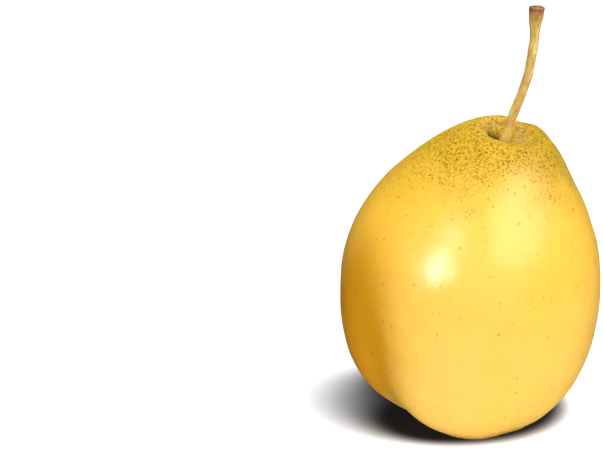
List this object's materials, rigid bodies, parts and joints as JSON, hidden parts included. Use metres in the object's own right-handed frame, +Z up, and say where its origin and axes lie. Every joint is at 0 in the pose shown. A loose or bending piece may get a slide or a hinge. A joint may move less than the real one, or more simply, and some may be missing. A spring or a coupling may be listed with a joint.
{
  "type": "pear",
  "caption": "Whole yellow Ya pear with lobed base, speckled waxy skin and a long curved woody stalk, standing on the small flat of its calyx end",
  "frame": {"origin": "on the resting plane, under the middle of the pear's box", "axes": "+Z up from the resting flat towards the stalk; -Y is the front; the stalk leans towards +X"},
  "size_m": [0.0756, 0.0756, 0.1268],
  "materials": {
    "skin": "waxy, smooth, with fine brown speckles",
    "stalk": "dry, finely streaked bark"
  },
  "bodies": {
    "root": {"fruit": "skin", "stem": "stalk"}
  },
  "joints": []
}
